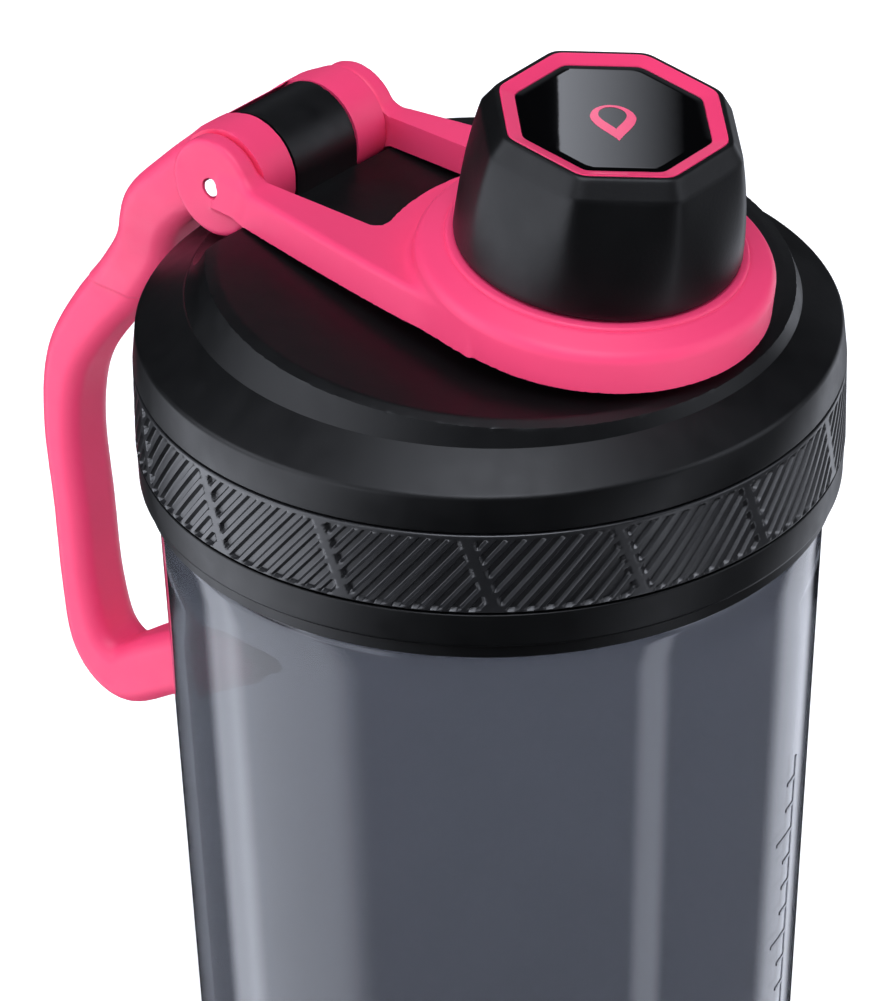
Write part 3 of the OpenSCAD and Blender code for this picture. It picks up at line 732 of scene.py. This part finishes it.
# ---------------------------------------------------------------- carried-over CAD nodes
for node, mat in {"lid_gasket": mat_silicone, "lid_liner": mat_inner, "spout": mat_inner,
                  "spout_oring": mat_silicone, "hinge_washer_left": mat_inner,
                  "hinge_washer_right": mat_inner, "cap_liner": mat_liner,
                  "cap_seal": mat_silicone, "cap_retainer": mat_inner,
                  "whisk_ball": mat_steel}.items():
    data = frame["nodes"][node].data
    data.materials.clear()
    data.materials.append(mat)
    data.polygons.foreach_set("use_smooth", [True] * len(data.polygons))
    data.set_sharp_from_angle(angle=math.radians(35))

# ---------------------------------------------------------------- stage, light and camera
LOOK_ROUND = math.radians(40.95)            # the camera's place round the lid and above it
LOOK_DOWN = math.radians(29.636)
LOOK_FROM = 1004.64
AIM_RIGHT, AIM_UP = 0.006225, 0.020621      # how far it looks past the lid's middle, as tangents
ROLL = math.radians(-0.5794)
LENS, SENSOR = 263.27, 36

side_dir = Vector((math.cos(LOOK_ROUND), math.sin(LOOK_ROUND), 0))
near_dir = Vector((math.sin(LOOK_ROUND), -math.cos(LOOK_ROUND), 0))


def studio(right, near, up):
    """A direction from its parts to the right, towards the viewer and up."""
    return (side_dir * right + near_dir * near + Vector((0, 0, up))).normalized()


def make_camera():
    """A camera that looks past the middle of the lid and rolls about its view."""
    back = studio(0, math.cos(LOOK_DOWN), math.sin(LOOK_DOWN))
    forward, up = -back, side_dir.cross(-back)
    c, s = math.cos(ROLL), math.sin(ROLL)
    v = Vector((c * AIM_RIGHT - s * AIM_UP, s * AIM_RIGHT + c * AIM_UP, 1)).normalized()
    yaw, pitch = math.atan2(v.x, v.z), math.asin(v.y)
    fw = math.cos(yaw) * forward - math.sin(yaw) * side_dir
    r = math.cos(yaw) * side_dir + math.sin(yaw) * forward
    fw2 = math.cos(pitch) * fw - math.sin(pitch) * up
    u2 = math.cos(pitch) * up + math.sin(pitch) * fw
    x_axis, y_axis = c * r + s * u2, -s * r + c * u2
    cam = bpy.data.objects.new("camera", bpy.data.cameras.new("camera"))
    cam.data.lens = LENS
    cam.data.sensor_width = SENSOR
    rot = Matrix((x_axis, y_axis, -fw2)).transposed()
    cam.matrix_world = Matrix.Translation((back * LOOK_FROM + Vector((0, 0, TOP))) * MM) @ rot.to_4x4()
    bpy.context.scene.collection.objects.link(cam)
    bpy.context.scene.camera = cam


make_camera()

world = bpy.data.worlds.new("studio")
bpy.context.scene.world = world
world.use_nodes = True
wt = world.node_tree
direction = wt.nodes.new("ShaderNodeTexCoord").outputs["Generated"]


def wmath(op, *values):
    """A maths node on numbers or other nodes' outputs."""
    node = wt.nodes.new("ShaderNodeMath")
    node.operation = op
    for k, v in enumerate(values):
        if isinstance(v, (int, float)):
            node.inputs[k].default_value = v
        else:
            wt.links.new(v, node.inputs[k])
    return node.outputs[0]


def dot(vec):
    """How far the direction looked in goes along a vector."""
    node = wt.nodes.new("ShaderNodeVectorMath")
    node.operation = "DOT_PRODUCT"
    wt.links.new(direction, node.inputs[0])
    node.inputs[1].default_value = vec
    return node.outputs["Value"]


def soft_step(value, edge, soft):
    """1 below edge and 0 above edge + soft."""
    node = wt.nodes.new("ShaderNodeMapRange")
    node.interpolation_type = "SMOOTHSTEP"
    node.inputs["From Min"].default_value = edge
    node.inputs["From Max"].default_value = edge + soft
    node.inputs["To Min"].default_value = 1
    node.inputs["To Max"].default_value = 0
    wt.links.new(value, node.inputs["Value"])
    return node.outputs["Result"]


def softbox(aim, half_wide, half_tall, soft, power):
    """A far soft light round a direction; its half sizes and soft edge are tangents of angles."""
    r = aim.cross(Vector((0, 0, 1))).normalized()
    u = r.cross(aim)
    z = wmath("MAXIMUM", dot(aim), 1e-3)
    x = wmath("ABSOLUTE", wmath("DIVIDE", dot(r), z))
    y = wmath("ABSOLUTE", wmath("DIVIDE", dot(u), z))
    mask = wmath("MULTIPLY", soft_step(x, half_wide, soft), soft_step(y, half_tall, soft))
    return wmath("MULTIPLY", mask, power)


def badge_streak(left, right, power):
    """The light that the badge mirrors: a sharp edge at left, fading out at right, in mm from its middle."""
    eye = np.array(bpy.context.scene.camera.location) / MM - (0, 0, TOP)
    middle = CAP_FOOT + CAP_AXIS * BADGE_TOP
    across = np.array(side_dir) - CAP_AXIS * np.dot(side_dir, CAP_AXIS)
    along = np.cross(CAP_AXIS, side_dir)

    def seen(x, y):
        d = middle + across * x + along * y - eye
        d = d - 2 * CAP_AXIS * np.dot(d, CAP_AXIS)
        return Vector(d).normalized()

    edge = seen(left, -8).cross(seen(left, 8)).normalized()
    if edge.dot(seen(right, 0)) < 0:
        edge = -edge
    reach = edge.dot(seen(right, 0))
    offset = dot(edge)
    fade = wt.nodes.new("ShaderNodeMapRange")
    fade.inputs["From Max"].default_value = reach
    fade.inputs["To Min"].default_value = 1
    fade.inputs["To Max"].default_value = 0
    wt.links.new(offset, fade.inputs["Value"])
    lit = wmath("MULTIPLY", fade.outputs["Result"], wmath("GREATER_THAN", offset, 0.0))
    return wmath("MULTIPLY", lit, softbox(seen(0, 0), 0.06, 0.06, 0.02, power))


lights = [
    softbox(studio(0, 0.12, 0.99), 0.22, 0.20, 0.22, 2.5),          # overhead
    softbox(studio(0, 0.55, 0.83), 0.20, 0.20, 0.20, 5.2),          # key, high and towards the viewer
    softbox(studio(-0.90, 0.15, 0.42), 0.25, 0.20, 0.20, 3.0),      # left, high
    softbox(studio(-0.90, 0.15, -0.42), 0.25, 0.25, 0.30, 2.4),     # left, low
    softbox(studio(-0.75, 0.65, 0.0), 0.20, 0.20, 0.20, 1.9),       # left, towards the viewer
    softbox(studio(0.90, 0.15, 0.42), 0.25, 0.20, 0.20, 1.5),       # right, high
    softbox(studio(1.0, 0.12, 0.0), 0.25, 0.20, 0.20, 0.6),         # right, level
    softbox(studio(0, -0.90, 0.35), 0.50, 0.15, 0.15, 0.2),         # rim from behind
    softbox(studio(0.71, 0.42, -0.57), 0.03, 0.35, 0.09, 2.2),      # strips that the cup mirrors
    softbox(studio(-0.76, -0.30, -0.57), 0.05, 0.35, 0.15, 2.6),
    softbox(studio(0.60, -0.68, -0.42), 0.12, 0.35, 0.20, 1.6),
    badge_streak(-7.3, 9.5, 2.8),
]
total = lights[0]
for light in lights[1:]:
    total = wmath("ADD", total, light)
background = wt.nodes["Background"]
background.inputs["Color"].default_value = (0.93, 0.97, 1.08, 1)
wt.links.new(total, background.inputs["Strength"])


def stage_material(name, grey, glow):
    """A plain matt material that also glows a little, so that the ground stays pale."""
    mat = bpy.data.materials.new(name)
    mat.use_nodes = True
    b = mat.node_tree.nodes["Principled BSDF"]
    b.inputs["Base Color"].default_value = (grey, grey, grey, 1)
    b.inputs["Roughness"].default_value = 0.9
    b.inputs["Specular IOR Level"].default_value = 0
    b.inputs["Emission Color"].default_value = (1, 1, 1, 1)
    b.inputs["Emission Strength"].default_value = glow
    return mat


def stage_piece(name, mesh, mat):
    mesh.materials.append(mat)
    piece = bpy.data.objects.new(name, mesh)
    bpy.context.scene.collection.objects.link(piece)
    return piece


def make_stage():
    """A pale floor, and a white dome that only the camera and the clear cup see."""
    reach, dome_r, floor_gap = 6.0, 5.5, 0.0002
    mesh = bpy.data.meshes.new("floor")
    mesh.from_pydata([(-reach, -reach, 0), (reach, -reach, 0), (reach, reach, 0), (-reach, reach, 0)],
                     [], [(0, 1, 2, 3)])
    floor = stage_piece("floor", mesh, stage_material("floor", 0.8, 0.55))
    floor.location.z = cad_box[0].z - floor_gap
    floor.visible_glossy = False
    bm = bmesh.new()
    bmesh.ops.create_uvsphere(bm, u_segments=48, v_segments=24, radius=dome_r)
    mesh = bpy.data.meshes.new("backdrop")
    bm.to_mesh(mesh)
    bm.free()
    dome = stage_piece("backdrop", mesh, stage_material("backdrop", 0, 1.0))
    for flag in ("visible_glossy", "visible_diffuse", "visible_shadow", "visible_volume_scatter"):
        setattr(dome, flag, False)


make_stage()
bpy.context.scene.view_settings.view_transform = "Standard"
